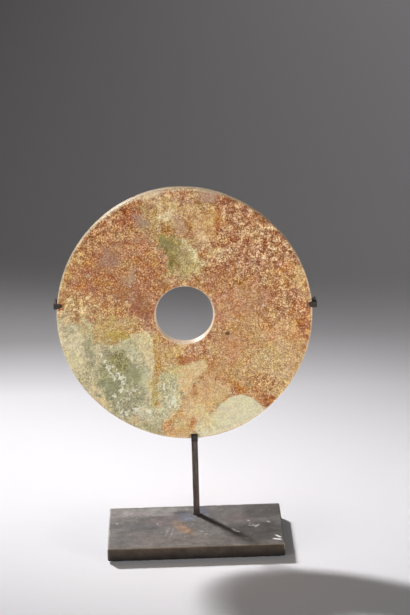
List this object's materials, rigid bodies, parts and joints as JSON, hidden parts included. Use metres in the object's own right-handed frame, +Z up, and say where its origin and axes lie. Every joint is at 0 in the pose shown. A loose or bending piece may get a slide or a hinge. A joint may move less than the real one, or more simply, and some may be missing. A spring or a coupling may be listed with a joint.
{
  "type": "jade bi disc on a stand",
  "caption": "Flat round stone ring with a central hole, standing upright in the claws of a slim blackened steel stand with a rectangular foot.",
  "frame": {"origin": "middle of the felt pad's underside, on the surface that the object stands on", "axes": "+Z up, +X to the viewer's right, the disc's show face towards -Y"},
  "size_m": [0.1642, 0.081, 0.2242],
  "materials": {
    "jade": "worn polish on weathered nephrite, russet and cream speckle over sage green",
    "block_steel": "satin, brown-black patina, scratched top",
    "bar_steel": "heat-blackened, filed by hand",
    "felt": "black wool felt"
  },
  "bodies": {
    "root": {"jade_disc": "jade", "steel_block": "block_steel", "felt_pad": "felt", "steel_post": "bar_steel", "foot_claw": "bar_steel", "left_arm": "bar_steel", "right_arm": "bar_steel"}
  },
  "joints": []
}
